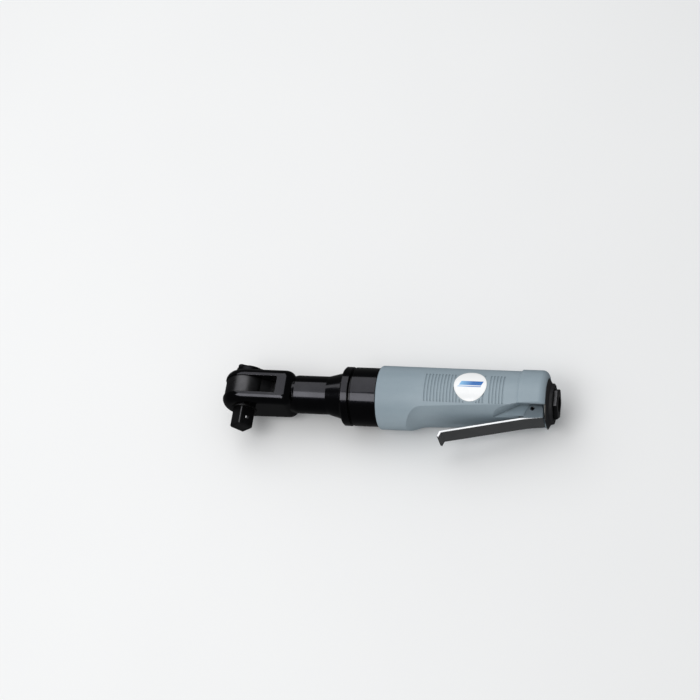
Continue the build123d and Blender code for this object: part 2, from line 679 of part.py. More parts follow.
with BuildPart() as rotor:
    with BuildSketch(across(PLANET_START)):
        with BuildLine():
            low = planet_pitch - DEDENDUM
            high = planet_pitch + ADDENDUM
            Polyline(*gear_outline(SUN_TEETH, tooth, low, high, 0), close=True)
        make_face()
    extrude(amount=PLANET_END + 0.6 - PLANET_START)
    revolve(tube(PLANET_END, REAR_BEARING + MOTOR_BEARING_LENGTH + 0.2, 0, ROTOR_SHAFT_R), axis=TOOL_AXIS)
    with BuildSketch(across(CYLINDER_START + 0.3)):
        Circle(ROTOR_R)
        with PolarLocations(ROTOR_R, VANES):
            Rectangle(10, VANE_THICK + 0.1, mode=Mode.SUBTRACT)
    extrude(amount=CYLINDER_END - CYLINDER_START - 0.6)
rotor.part.label = "rotor"
export_step(rotor.part, "parts/rotor.step")

with BuildPart() as rotor_vanes:
    with BuildSketch(across(CYLINDER_START + 0.35)):
        with PolarLocations(ROTOR_R - 0.05, VANES):
            Rectangle(4.8, VANE_THICK, align=(Align.MAX, Align.CENTER))
    extrude(amount=CYLINDER_END - CYLINDER_START - 0.7)
rotor_vanes.part.label = "rotor_vanes"
export_step(rotor_vanes.part, "parts/rotor_vanes.step")

with BuildPart() as rear_end_plate:
    plate = [
        (CYLINDER_END, ROTOR_SHAFT_R + 0.3),
        (REAR_BEARING, ROTOR_SHAFT_R + 0.3),
        (REAR_BEARING, MOTOR_BEARING_R),
        (REAR_BEARING + MOTOR_BEARING_LENGTH, MOTOR_BEARING_R),
        (REAR_BEARING + MOTOR_BEARING_LENGTH, END_PLATE_BORE_R),
        (MOTOR_ROOM_END - 0.3, END_PLATE_BORE_R),
        (MOTOR_ROOM_END - 0.3, CYLINDER_R),
        (CYLINDER_END, CYLINDER_R),
    ]
    revolve(outline(plate), axis=TOOL_AXIS)
    with BuildSketch(across(DOWEL_START, 0, -DOWEL_OFF)):
        Circle(DOWEL_R)
    extrude(amount=DOWEL_LENGTH, mode=Mode.SUBTRACT)
rear_end_plate.part.label = "rear_end_plate"
export_step(rear_end_plate.part, "parts/rear_end_plate.step")

rear_bearing_end = REAR_BEARING + MOTOR_BEARING_LENGTH
ball_bearing("rear_bearing", REAR_BEARING, rear_bearing_end, ROTOR_SHAFT_R, MOTOR_BEARING_R, 8, 1.25)


def recess_cutter(floor):
    """Solid that cuts the lever recess, a flat curve that runs out forwards in an arc."""
    slope = tan(radians(RECESS_SLOPE))
    curve_axis = Axis((RECESS_FULL, AXIS_Y + RECESS_CURVE - floor, 0), (1, slope, 0))
    with BuildSketch(PROFILE) as section:
        with BuildLine():
            low_centre = (RECESS_FULL, -floor - RECESS_RUN_OUT)
            low = CenterArc(low_centre, RECESS_RUN_OUT, 90 + RECESS_SLOPE, RECESS_SWING)
            outward = (low @ 1) - Vector(*low_centre)
            high_centre = (low @ 1) + outward
            high = CenterArc(high_centre, RECESS_RUN_OUT, -90 + RECESS_SLOPE + RECESS_SWING, -RECESS_SWING)
            rear = low @ 0 + Vector(1, slope) * (SLEEVE_END + 1 - RECESS_FULL)
            Polyline(low @ 0, rear, (rear.X, -60), ((high @ 1).X, -60), high @ 1)
        make_face()
    with BuildPart() as cutter:
        revolve(section.sketch.rotate(curve_axis, -45), axis=curve_axis, revolution_arc=90)
    return cutter.part


def side_scoop(side):
    """Scoop beside the lever boss: it slopes down to the pocket for the lever's cheek."""
    wall = side * BOSS_HALF
    flat = side * (BOSS_HALF + SCOOP_FLAT)
    far = side * 40

    def section(station, foot, rim, spread):
        with BuildSketch(across(station)) as cut:
            with BuildLine():
                Polyline(
                    (-40, wall), (foot, wall), (foot, flat), (rim, side * spread), (rim, far), (-40, far),
                    close=True,
                )
            make_face()
        return cut.sketch

    ramp = section(RAMP_START, *RAMP_SECTION)
    pocket = section(POCKET_START, *POCKET_SECTION)
    with BuildPart() as scoop:
        loft(sections=[ramp.face(), pocket.face()], ruled=True)
        extrude(pocket, amount=SLEEVE_END + 1 - POCKET_START)
    return scoop.part


scoops = [side_scoop(1), side_scoop(-1)]

# Motor housing: motor tube in front, valve block and lever boss behind
with BuildPart() as motor_housing:
    body = [
        (SLEEVE_START, REAR_SPIGOT_R), (REAR_SPIGOT_END, REAR_SPIGOT_R), (REAR_SPIGOT_END, CYLINDER_R),
        (MOTOR_ROOM_END, CYLINDER_R), (MOTOR_ROOM_END, 0), (CORE_END, 0), (CORE_END, CORE_R),
        (CORE_START + 3, CORE_R), (CORE_START, HOUSING_R), (SLEEVE_START, HOUSING_R),
    ]
    revolve(outline(body), axis=TOOL_AXIS)
    add(recess_cutter(RECESS_FLOOR - SKIN), mode=Mode.SUBTRACT)
    with BuildSketch(across(POCKET_START)):
        Rectangle(CORE_R, 2 * BOSS_HALF, align=(Align.MAX, Align.CENTER))
    extrude(amount=BOSS_END - POCKET_START)
    with BuildSketch(across(POCKET_START)):
        with Locations((-BOSS_TOP, 0)):
            Rectangle(20, 60, align=(Align.MAX, Align.CENTER))
    extrude(amount=BOSS_END - POCKET_START, mode=Mode.SUBTRACT)
    for scoop in scoops:
        add(scoop, mode=Mode.SUBTRACT)
    with BuildSketch(VALVE_PLANE.offset(-4.0)):
        Circle(VALVE_ROOM_R)
    extrude(amount=30, mode=Mode.SUBTRACT)
    with BuildSketch(VALVE_PLANE.offset(-4.0)):
        Circle(VALVE_STEM_R + RUNNING)
    extrude(amount=-30, mode=Mode.SUBTRACT)
    revolve(tube(INLET_SHANK, CORE_END + 1, 0, SHANK_R), axis=TOOL_AXIS, mode=Mode.SUBTRACT)
    revolve(tube(VALVE_STATION, INLET_SHANK + 1, 0, 4.5), axis=TOOL_AXIS, mode=Mode.SUBTRACT)
    with BuildSketch(across(MOTOR_ROOM_END - 1, 6.0)):
        Circle(3.0)
    extrude(amount=VALVE_STATION - MOTOR_ROOM_END, mode=Mode.SUBTRACT)
    with BuildSketch(across(MOTOR_ROOM_END - 1)):
        with Locations((2.5, 11.8), (2.5, -11.8)):
            Circle(2.6)
    extrude(amount=CORE_END - MOTOR_ROOM_END + 2, mode=Mode.SUBTRACT)
    with BuildSketch(PIN_PLANE):
        Circle(LEVER_PIN_R)
    extrude(amount=20, both=True, mode=Mode.SUBTRACT)
motor_housing.part.label = "motor_housing"
export_step(motor_housing.part, "parts/motor_housing.step")

# Grooves between the ribs of both flanks, left out where the label sits
with BuildPart() as rib_grooves:
    for number in range(RIBS):
        station = RIB_START + RIB_PITCH * number
        with BuildSketch(facing_drive(0)) as groove:
            with Locations((station, sleeve_radius(station) + 0.1)):
                Circle(RIB_DEPTH + 0.1)
        for side in (90, -90):
            turned = groove.sketch.rotate(TOOL_AXIS, side - 90 - RIB_SPREAD / 2)
            revolve(turned, axis=TOOL_AXIS, revolution_arc=RIB_SPREAD)
    with BuildSketch(LABEL_PLANE.offset(10)):
        Circle(LABEL_R + 1.0)
    extrude(amount=20, mode=Mode.SUBTRACT)

# Grip sleeve: moulded round the housing, with the lever recess and two ribbed flanks
with BuildPart() as grip_sleeve:
    wall = [
        (SLEEVE_START, REAR_SPIGOT_R), (REAR_SPIGOT_END, REAR_SPIGOT_R), (REAR_SPIGOT_END, CYLINDER_R),
        (CORE_START + 3, CYLINDER_R), (CORE_START + 3, CORE_R), (BOSS_END, CORE_R), (BOSS_END, REAR_BORE_R),
        (SLEEVE_END, REAR_BORE_R), (SLEEVE_END, COLLAR_R), (COLLAR_START, COLLAR_R),
        (COLLAR_START - 1.2, SLEEVE_REAR_R), (SLEEVE_START, SLEEVE_FRONT_R),
    ]
    revolve(outline(wall), axis=TOOL_AXIS)
    ends = edges().filter_by(GeomType.CIRCLE).filter_by(lambda e: e.radius > SLEEVE_FRONT_R - 0.1)
    front_rim = ends.sort_by(Axis.X)[0]
    rear_rim = ends.sort_by(Axis.X)[-1]
    fillet(front_rim, 1.4)
    fillet(rear_rim, REAR_ROUND)
    add(motor_housing.part, mode=Mode.SUBTRACT)
    add(recess_cutter(RECESS_FLOOR), mode=Mode.SUBTRACT)
    with BuildSketch(across(POCKET_START)):
        with Locations((-BOSS_TOP, 0)):
            Rectangle(20, 2 * BOSS_HALF + 4, align=(Align.MAX, Align.CENTER))
    extrude(amount=SLEEVE_END + 1 - POCKET_START, mode=Mode.SUBTRACT)
    for scoop in scoops:
        add(scoop, mode=Mode.SUBTRACT)
    with BuildSketch(VALVE_PLANE):
        Circle(VALVE_STEM_R + RUNNING)
    extrude(amount=-30, mode=Mode.SUBTRACT)
    add(rib_grooves.part, mode=Mode.SUBTRACT)
grip_sleeve.part.label = "grip_sleeve"
export_step(grip_sleeve.part, "parts/grip_sleeve.step")

# Lever pin, through the boss and both cheeks of the lever
with BuildPart() as lever_pin:
    with BuildSketch(PIN_PLANE):
        Circle(LEVER_PIN_R)
    extrude(amount=LEVER_HALF + 0.3, both=True)
lever_pin.part.label = "lever_pin"
export_step(lever_pin.part, "parts/lever_pin.step")

# Throttle lever: folded from sheet, with a web and two cheeks that deepen at the pin
tip = Vector(LEVER_TIP, -LEVER_TIP_DROP)
bend = Vector(LEVER_BEND, -LEVER_BEND_DROP)
heel = Vector(LEVER_HEEL, -LEVER_HEEL_DROP)
along = (bend - tip).normalized()
inward = Vector(-along.Y, along.X) * LEVER_SHEET
lip = tip + Vector(*LIP)
lip_inward = Vector(LIP[1], -LIP[0]).normalized() * LEVER_SHEET
web = [
    lip, tip, bend, heel, heel + Vector(0, LEVER_SHEET), bend + inward, tip + inward * 0.9 - along * 1.1,
    lip + lip_inward,
]
cheek = [
    (LEVER_BEND - 1.6, bend.Y - 0.2), bend, heel, (LEVER_HEEL - 0.3, -8.0), (LEVER_HEEL - 1.4, CHEEK_TOP),
    (218.8, CHEEK_TOP), (217.4, -7.0), (LEVER_BEND - 1.2, -14.8),
]
with BuildPart() as throttle_lever:
    with BuildSketch(PROFILE.offset(-LEVER_HALF)):
        with BuildLine():
            Polyline(*web, close=True)
        make_face()
    extrude(amount=2 * LEVER_HALF)
    for side in (-LEVER_HALF, LEVER_HALF - LEVER_SHEET):
        with BuildSketch(PROFILE.offset(side)):
            with BuildLine():
                Polyline(*cheek, close=True)
            make_face()
        extrude(amount=LEVER_SHEET)
    with BuildSketch(PIN_PLANE):
        Circle(LEVER_PIN_R + RUNNING)
    extrude(amount=20, both=True, mode=Mode.SUBTRACT)
throttle_lever.part.label = "throttle_lever"
export_step(throttle_lever.part, "parts/throttle_lever.step")

# Throttle valve: stem, ball, seat, spring and plug, in the cross bore of the housing
with BuildPart() as valve_stem:
    with BuildSketch(VALVE_PLANE.offset(-STEM_DROP)):
        Circle(VALVE_STEM_R)
    extrude(amount=STEM_DROP - 2.75)
    fillet(faces().sort_by(Axis.Y)[0].edges(), 0.8)
valve_stem.part.label = "valve_stem"
export_step(valve_stem.part, "parts/valve_stem.step")

with BuildPart(VALVE_PLANE.offset(1.6)) as valve_ball:
    Sphere(VALVE_BALL_R)
valve_ball.part.label = "valve_ball"
export_step(valve_ball.part, "parts/valve_ball.step")

with BuildPart() as valve_seat:
    with BuildSketch(VALVE_PLANE.offset(-4.0)):
        Circle(VALVE_ROOM_R)
        Circle(3.2, mode=Mode.SUBTRACT)
    extrude(amount=2.4)
valve_seat.part.label = "valve_seat"
export_step(valve_seat.part, "parts/valve_seat.step")

with BuildPart() as throttle_spring:
    with BuildSketch(VALVE_PLANE.offset(5.1)):
        Circle(3.0)
        Circle(2.4, mode=Mode.SUBTRACT)
    extrude(amount=4.9)
throttle_spring.part.label = "throttle_spring"
export_step(throttle_spring.part, "parts/throttle_spring.step")

with BuildPart() as valve_plug:
    with BuildSketch(VALVE_PLANE.offset(10.0)):
        Circle(VALVE_ROOM_R)
    extrude(amount=4.4)
    with BuildSketch(VALVE_PLANE.offset(14.4)):
        RegularPolygon(2.5, 6)
    extrude(amount=-2.5, mode=Mode.SUBTRACT)
    with BuildSketch(VALVE_PLANE.offset(11.0)):
        Circle(VALVE_ROOM_R + 1)
        Circle(4.2, mode=Mode.SUBTRACT)
    extrude(amount=1.2, mode=Mode.SUBTRACT)
valve_plug.part.label = "valve_plug"
export_step(valve_plug.part, "parts/valve_plug.step")

with BuildPart() as plug_o_ring:
    with BuildSketch(VALVE_PLANE.offset(11.1)):
        Circle(4.95)
        Circle(4.25, mode=Mode.SUBTRACT)
    extrude(amount=1.0)
plug_o_ring.part.label = "plug_o_ring"
export_step(plug_o_ring.part, "parts/plug_o_ring.step")

# Air inlet bushing: shank in the housing, journal for the deflector and a hexagon head
with BuildPart() as air_inlet_bushing:
    revolve(tube(INLET_SHANK, CORE_END, 0, SHANK_R), axis=TOOL_AXIS)
    revolve(tube(CORE_END, DEFLECTOR_END + 0.2, 0, INLET_FLANGE_R), axis=TOOL_AXIS)
    with BuildSketch(across(DEFLECTOR_END + 0.2)):
        RegularPolygon(10.5, 6, major_radius=False)
    extrude(amount=INLET_END - DEFLECTOR_END - 0.2)
    chamfer(faces().sort_by(Axis.X)[-1].edges(), 0.6)
    revolve(tube(INLET_END - INLET_DEPTH, INLET_END + 1, 0, INLET_R), axis=TOOL_AXIS, mode=Mode.SUBTRACT)
    revolve(tube(SCREEN_START, INLET_END, 0, 4.8), axis=TOOL_AXIS, mode=Mode.SUBTRACT)
    revolve(tube(INLET_SHANK - 1, INLET_END, 0, 4.0), axis=TOOL_AXIS, mode=Mode.SUBTRACT)
    ring_groove = tube(INLET_RING - 1, INLET_RING + 1, SHANK_R - 0.9, SHANK_R + 1)
    revolve(ring_groove, axis=TOOL_AXIS, mode=Mode.SUBTRACT)
air_inlet_bushing.part.label = "air_inlet_bushing"
export_step(air_inlet_bushing.part, "parts/air_inlet_bushing.step")

with BuildPart() as inlet_o_ring:
    with BuildSketch(facing_drive(0)):
        with Locations((INLET_RING, SHANK_R - 0.46)):
            Circle(0.43)
    revolve(axis=TOOL_AXIS)
inlet_o_ring.part.label = "inlet_o_ring"
export_step(inlet_o_ring.part, "parts/inlet_o_ring.step")

with BuildPart() as inlet_screen:
    with BuildSketch(across(SCREEN_START + 0.2)):
        Circle(4.7)
        with HexLocations(0.75, 5, 5):
            Circle(0.45, mode=Mode.SUBTRACT)
    extrude(amount=0.6)
inlet_screen.part.label = "inlet_screen"
export_step(inlet_screen.part, "parts/inlet_screen.step")

# Exhaust deflector: turns on the bushing, with a ring of slots round its rear face
with BuildPart() as exhaust_deflector:
    cap = [
        (SLEEVE_END + 1.1, INLET_FLANGE_R + 0.1), (DEFLECTOR_END, INLET_FLANGE_R + 0.1),
        (DEFLECTOR_END, DEFLECTOR_NECK_R - 0.6), (DEFLECTOR_END - 0.6, DEFLECTOR_NECK_R),
        (SLEEVE_END + 2.2, DEFLECTOR_NECK_R + 0.2), (SLEEVE_END + 0.2, DEFLECTOR_R),
        (SLEEVE_END + 0.2, DEFLECTOR_NECK_R + 0.4), (SLEEVE_END + 1.1, DEFLECTOR_NECK_R - 0.7),
    ]
    revolve(outline(cap), axis=TOOL_AXIS)
    with BuildSketch(across(DEFLECTOR_END + 1)):
        with PolarLocations(12.7, 12):
            SlotOverall(4.0, 1.6, rotation=90)
    extrude(amount=-6, mode=Mode.SUBTRACT)
exhaust_deflector.part.label = "exhaust_deflector"
export_step(exhaust_deflector.part, "parts/exhaust_deflector.step")

with BuildPart() as muffler_felt:
    revolve(tube(CORE_END + 0.2, SLEEVE_END + 0.9, 11.0, 14.0), axis=TOOL_AXIS)
muffler_felt.part.label = "muffler_felt"
export_step(muffler_felt.part, "parts/muffler_felt.step")

# Label disc: thin round sticker on the upper flank, bent to the sleeve
with BuildPart() as label_disc:
    with BuildSketch(LABEL_PLANE.offset(10)):
        Circle(LABEL_R)
    extrude(amount=20)
    revolve(label_shell(0, LABEL_THICK), axis=TOOL_AXIS, mode=Mode.INTERSECT)
label_disc.part.label = "label_disc"
export_step(label_disc.part, "parts/label_disc.step")
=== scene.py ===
import json
from math import cos, pi, radians, sin

import bpy
from mathutils import Matrix, Vector, noise


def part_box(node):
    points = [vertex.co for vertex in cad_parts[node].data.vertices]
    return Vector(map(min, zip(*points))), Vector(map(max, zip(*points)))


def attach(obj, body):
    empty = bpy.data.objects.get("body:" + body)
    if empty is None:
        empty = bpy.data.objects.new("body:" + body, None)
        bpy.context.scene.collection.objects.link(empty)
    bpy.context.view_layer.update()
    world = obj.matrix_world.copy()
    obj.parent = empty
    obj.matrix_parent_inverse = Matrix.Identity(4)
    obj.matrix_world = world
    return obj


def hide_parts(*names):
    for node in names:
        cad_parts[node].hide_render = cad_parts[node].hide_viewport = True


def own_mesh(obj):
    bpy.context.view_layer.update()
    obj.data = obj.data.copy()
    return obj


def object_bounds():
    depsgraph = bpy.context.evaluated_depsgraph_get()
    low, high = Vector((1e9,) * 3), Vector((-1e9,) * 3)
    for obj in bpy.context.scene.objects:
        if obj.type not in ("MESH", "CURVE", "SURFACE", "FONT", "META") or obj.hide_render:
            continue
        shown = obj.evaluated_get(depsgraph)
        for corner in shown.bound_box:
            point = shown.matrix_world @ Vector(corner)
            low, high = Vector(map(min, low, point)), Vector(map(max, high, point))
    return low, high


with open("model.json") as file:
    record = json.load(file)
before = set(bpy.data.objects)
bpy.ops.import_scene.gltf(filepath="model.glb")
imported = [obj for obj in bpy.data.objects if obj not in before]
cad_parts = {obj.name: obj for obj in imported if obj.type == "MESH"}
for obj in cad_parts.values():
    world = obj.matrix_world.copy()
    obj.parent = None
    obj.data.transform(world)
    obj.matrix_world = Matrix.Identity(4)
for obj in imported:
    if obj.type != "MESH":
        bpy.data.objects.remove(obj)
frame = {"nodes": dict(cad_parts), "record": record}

cad_box = [list(corner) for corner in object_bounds()]
nodes = frame["nodes"]

MM = 0.001
AXIS_Y = 14.8 * MM                     # the tool axis runs along X at this Y, Z = 0


# Camera, at the photograph's viewing angle

def aim(thing, back):
    thing.rotation_euler = back.to_track_quat("Z", "Y").to_euler()


camera = bpy.data.objects.new("camera", bpy.data.cameras.new("camera"))
bpy.context.scene.collection.objects.link(camera)
right = Vector((0.9675, 0.140, -0.2107)).normalized()
forward = Vector((-0.251, 0.432, -0.8662)).normalized()
forward = (forward - right * forward.dot(right)).normalized()
up = right.cross(forward)
turn = Matrix((right, up, -forward)).transposed()
camera.matrix_world = Matrix.Translation((0.4006, -0.5057, 1.1217)) @ turn.to_4x4()
camera.data.sensor_width = 36
camera.data.lens = 87.43
camera.data.clip_start = 0.01
camera.data.clip_end = 50
bpy.context.scene.camera = camera
bpy.context.scene.view_settings.view_transform = "Standard"


# Procedural materials

class Paint:
    """A material with a Principled shader and short calls for the nodes that feed it."""

    def __init__(self, name, **sockets):
        self.material = bpy.data.materials.new(name)
        self.material.use_nodes = True
        self.tree = self.material.node_tree
        self.shader = self.tree.nodes["Principled BSDF"]
        self.place = self.tree.nodes.new("ShaderNodeTexCoord").outputs["Object"]
        for socket, value in sockets.items():
            self.shader.inputs[socket.replace("_", " ")].default_value = value

    def link(self, source, target):
        self.tree.links.new(source, target)

    def feed(self, target, value):
        if isinstance(value, bpy.types.NodeSocket):
            self.link(value, target)
        elif isinstance(value, tuple) and target.type == "RGBA":
            target.default_value = (*value, 1)
        else:
            target.default_value = value

    def node(self, kind, values=(), output=0, **settings):
        made = self.tree.nodes.new("ShaderNode" + kind)
        for key, value in settings.items():
            setattr(made, key, value)
        for index, value in enumerate(values):
            if value is not None:
                self.feed(made.inputs[index], value)
        return made.outputs[output]

    def math(self, operation, a, b=0.0, clamp=False):
        return self.node("Math", (a, b), operation=operation, use_clamp=clamp)

    def scaled(self, stretch):
        return self.node("VectorMath", (self.place, stretch), operation="MULTIPLY")

    def grain(self, scale, detail=3.0, stretch=None, rough=0.55):
        where = self.scaled(stretch) if stretch else self.place
        made = self.tree.nodes.new("ShaderNodeTexNoise")
        self.link(where, made.inputs["Vector"])
        made.inputs["Scale"].default_value = scale
        made.inputs["Detail"].default_value = detail
        made.inputs["Roughness"].default_value = rough
        return made.outputs["Fac"]

    def span(self, value, low, high, to_low=0.0, to_high=1.0):
        return self.node("MapRange", (value, low, high, to_low, to_high))

    def blend(self, factor, a, b):
        made = self.tree.nodes.new("ShaderNodeMix")
        made.data_type = "RGBA"
        self.feed(made.inputs["Factor"], factor)
        self.feed(made.inputs[6], a)
        self.feed(made.inputs[7], b)
        return made.outputs[2]

    def edge(self, radius, bite=0.12):
        """1 on sharp edges, 0 on flat and smooth surfaces."""
        rounded = self.rounded(radius)
        flat = self.tree.nodes.new("ShaderNodeNewGeometry").outputs["Normal"]
        same = self.node("VectorMath", (rounded, flat), output=1, operation="DOT_PRODUCT")
        return self.span(same, 1.0 - bite * 0.15, 1.0 - bite)

    def rounded(self, radius):
        made = self.tree.nodes.new("ShaderNodeBevel")
        made.samples = 5
        made.inputs["Radius"].default_value = radius
        return made.outputs["Normal"]

    def corner(self, reach):
        """Occlusion mask for painted shade: 1 deep in a groove or beside another piece, 0 in the open."""
        made = self.tree.nodes.new("ShaderNodeAmbientOcclusion")
        made.samples = 6
        made.inputs["Distance"].default_value = reach
        return self.span(made.outputs["AO"], 0.92, 0.45)

    def bumps(self, *layers, soften=None):
        """Layers of (height, strength, depth in metres), the first lowest."""
        normal = self.rounded(soften) if soften else None
        for height, strength, depth in layers:
            made = self.tree.nodes.new("ShaderNodeBump")
            made.inputs["Strength"].default_value = strength
            made.inputs["Distance"].default_value = depth
            self.link(height, made.inputs["Height"])
            if normal:
                self.link(normal, made.inputs["Normal"])
            normal = made.outputs["Normal"]
        self.link(normal, self.shader.inputs["Normal"])

    def set(self, socket, value):
        self.feed(self.shader.inputs[socket], value)


RINGS = (1.0, 0.02, 0.02)              # brushed round the tool axis
TURNED = (0.02, 1.0, 0.02)             # brushed round the drive axis
ALONG = (0.03, 1.0, 1.0)               # brushed along the tool


def worked_metal(name, dark, light, rough, stretch=None, wear=None, dirt_and_shade=0.5, scratch=0.25, **sockets):
    """Machined or plated metal: blotches, brushing, fine scratches, rubbed edges, and occluded corners
    darkened with painted shade that also stands for grime.
    """
    paint = Paint(name, Metallic=1.0, **sockets)
    blotch = paint.grain(70, 4)
    brushed = paint.grain(5200, 2, stretch or ALONG)
    scratched = paint.grain(1500, 2, (0.08, 1.0, 0.35), 0.7)
    hair = paint.span(scratched, 0.66, 0.72)
    colour = paint.blend(paint.span(blotch, 0.3, 0.7), dark, light)
    colour = paint.blend(paint.math("MULTIPLY", hair, 0.18), colour, tuple(min(1.0, 2.2 * c) for c in light))
    if wear:
        rubbed = paint.math("MULTIPLY", paint.edge(0.35 * MM), paint.span(paint.grain(420, 3), 0.46, 0.64))
        colour = paint.blend(paint.math("MULTIPLY", rubbed, 0.75), colour, wear)
    # Painted shade: occluded corners and joints are darkened towards near black, standing for grime as well.
    grime_and_shade = paint.math("MULTIPLY", paint.corner(2.5 * MM), dirt_and_shade)
    colour = paint.blend(grime_and_shade, colour, (0.012, 0.011, 0.010))
    paint.set("Base Color", colour)
    uneven = paint.span(paint.grain(28, 5), 0.3, 0.7, rough[0], rough[1])
    fine = paint.span(brushed, 0.3, 0.7, -0.04, 0.06)
    uneven = paint.math("ADD", uneven, fine)
    paint.set("Roughness", paint.math("ADD", uneven, paint.math("MULTIPLY", grime_and_shade, 0.3), clamp=True))
    paint.bumps(
        (brushed, scratch, 0.02 * MM),
        (paint.grain(380, 2), 0.25, 0.02 * MM),
        (hair, 0.2, -0.02 * MM),
        soften=0.3 * MM,
    )
    return paint.material


def moulded(name, dark, light, rough, texture=2600, relief=0.05, wear=None, dirt_and_shade=0.5, **sockets):
    """Moulded plastic or composite: fine spark texture, flow marks, rubbed edges, and occluded corners
    darkened with painted shade that also stands for grime.
    """
    paint = Paint(name, **sockets)
    flow = paint.grain(34, 5, (0.35, 1.0, 1.0))
    speck = paint.grain(1500, 2)
    colour = paint.blend(paint.span(flow, 0.3, 0.7), dark, light)
    colour = paint.blend(paint.span(speck, 0.58, 0.72, 0.0, 0.22), colour, tuple(0.7 * c for c in dark))
    if wear:
        rubbed = paint.math("MULTIPLY", paint.edge(0.6 * MM, 0.2), paint.span(paint.grain(260, 3), 0.4, 0.66))
        colour = paint.blend(paint.math("MULTIPLY", rubbed, 0.5), colour, wear)
    # Painted shade: occluded grooves, recesses and joints are darkened, broken up by noise, standing for
    # grime as well.
    grime_and_shade = paint.math("MULTIPLY", paint.corner(1.6 * MM), dirt_and_shade)
    grime_and_shade = paint.math("MULTIPLY", grime_and_shade, paint.span(paint.grain(150, 3), 0.3, 0.6, 0.5, 1.0))
    colour = paint.blend(grime_and_shade, colour, tuple(0.22 * c for c in dark))
    paint.set("Base Color", colour)
    handled = paint.span(paint.grain(18, 4), 0.35, 0.65, rough[0], rough[1])
    paint.set("Roughness", paint.math("ADD", handled, paint.span(speck, 0.3, 0.7, -0.03, 0.05), clamp=True))
    paint.bumps(
        (flow, 0.1, 0.12 * MM),
        (paint.grain(texture, 2), 0.55, relief * MM),
        soften=0.25 * MM,
    )
    return paint.material


def housing_material():
    """Cast aluminium that is coated like the sleeve where the trigger boss stands in the scoops."""
    paint = Paint("housing_cast_and_coated", IOR=1.46)
    blotch = paint.grain(60, 4)
    cast = paint.blend(paint.span(blotch, 0.3, 0.7), (0.50, 0.51, 0.52), (0.66, 0.66, 0.67))
    coated = paint.blend(paint.span(blotch, 0.3, 0.7), (0.235, 0.297, 0.338), (0.292, 0.358, 0.400))
    behind = paint.span(paint.node("SeparateXYZ", (paint.place,)), 0.188, 0.189)
    height = paint.node("SeparateXYZ", (paint.place,), output=1)
    below = paint.span(height, AXIS_Y - 3.5 * MM, AXIS_Y - 3 * MM, 1.0, 0.0)
    coat = paint.math("MULTIPLY", behind, below)
    # Painted shade: occluded corners of the housing are darkened towards near black.
    grime_and_shade = paint.math("MULTIPLY", paint.corner(2 * MM), 0.4)
    colour = paint.blend(grime_and_shade, paint.blend(coat, cast, coated), (0.03, 0.03, 0.03))
    paint.set("Base Color", colour)
    paint.set("Metallic", paint.math("SUBTRACT", 1.0, coat))
    paint.set("Roughness", paint.span(paint.grain(30, 4), 0.3, 0.7, 0.34, 0.48))
    paint.bumps((blotch, 0.2, 0.04 * MM), (paint.grain(2300, 2), 0.5, 0.05 * MM), soften=0.3 * MM)
    return paint.material


def label_print():
    """White printed film with a plain blue bar and a rule under it, and slight yellowing at the edge."""
    paint = Paint("label_film", IOR=1.5, Coat_Weight=0.6, Coat_Roughness=0.12)
    centre = Vector((176 * MM, AXIS_Y + 23.6 * MM * sin(radians(5)), 23.6 * MM * cos(radians(5))))
    moved = paint.node("VectorMath", (paint.place, tuple(-centre)), operation="ADD")
    along = paint.node("VectorMath", (moved, (1000, 0, 0)), output=1, operation="DOT_PRODUCT")
    tangent = (0, 1000 * cos(radians(5)), -1000 * sin(radians(5)))
    height = paint.node("VectorMath", (moved, tangent), output=1, operation="DOT_PRODUCT")
    slanted = paint.math("SUBTRACT", along, paint.math("MULTIPLY", height, 0.45))

    def between(value, low, high, soft=0.12):
        rise = paint.span(value, low - soft, low + soft)
        fall = paint.span(value, high - soft, high + soft, 1.0, 0.0)
        return paint.math("MULTIPLY", rise, fall)

    bar = paint.math("MULTIPLY", between(slanted, -8.2, 8.2), between(height, -0.4, 3.1))
    rule = paint.math("MULTIPLY", between(slanted, -8.6, 8.6), between(height, -1.7, -1.05))
    film = paint.blend(paint.grain(90, 4), (0.86, 0.87, 0.88), (0.92, 0.92, 0.91))
    ink = paint.blend(paint.span(slanted, -8.0, 1.0), (0.22, 0.50, 0.78), (0.006, 0.13, 0.44))
    ink = paint.blend(paint.span(paint.grain(3200, 1), 0.5, 0.75, 0.0, 0.25), ink, (0.05, 0.2, 0.5))
    colour = paint.blend(paint.math("MAXIMUM", bar, rule), film, ink)
    round_edge = paint.node("VectorMath", (moved,), output=1, operation="LENGTH")
    aged = paint.span(round_edge, 0.0108, 0.0121, 0.0, 0.35)
    colour = paint.blend(paint.math("MULTIPLY", aged, paint.grain(700, 3)), colour, (0.55, 0.52, 0.45))
    paint.set("Base Color", colour)
    paint.set("Roughness", paint.span(paint.grain(45, 4), 0.3, 0.7, 0.22, 0.36))
    paint.bumps((paint.grain(700, 2), 0.15, 0.02 * MM), (paint.grain(3000, 1), 0.1, 0.01 * MM))
    return paint.material


def felt_material():
    paint = Paint("pressed_felt", IOR=1.4, Sheen_Weight=0.4, Sheen_Roughness=0.5)
    fibre = paint.grain(2600, 4, (1.0, 0.25, 1.0), 0.7)
    colour = paint.blend(paint.span(fibre, 0.3, 0.7), (0.16, 0.15, 0.13), (0.42, 0.40, 0.36))
    # Painted shade: occluded parts of the felt are darkened towards dark brown.
    paint.set("Base Color", paint.blend(paint.corner(2 * MM), colour, (0.05, 0.045, 0.04)))
    paint.set("Roughness", paint.span(fibre, 0.2, 0.8, 0.8, 1.0))
    paint.bumps((fibre, 0.8, 0.15 * MM), (paint.grain(900, 3), 0.5, 0.2 * MM))
    return paint.material


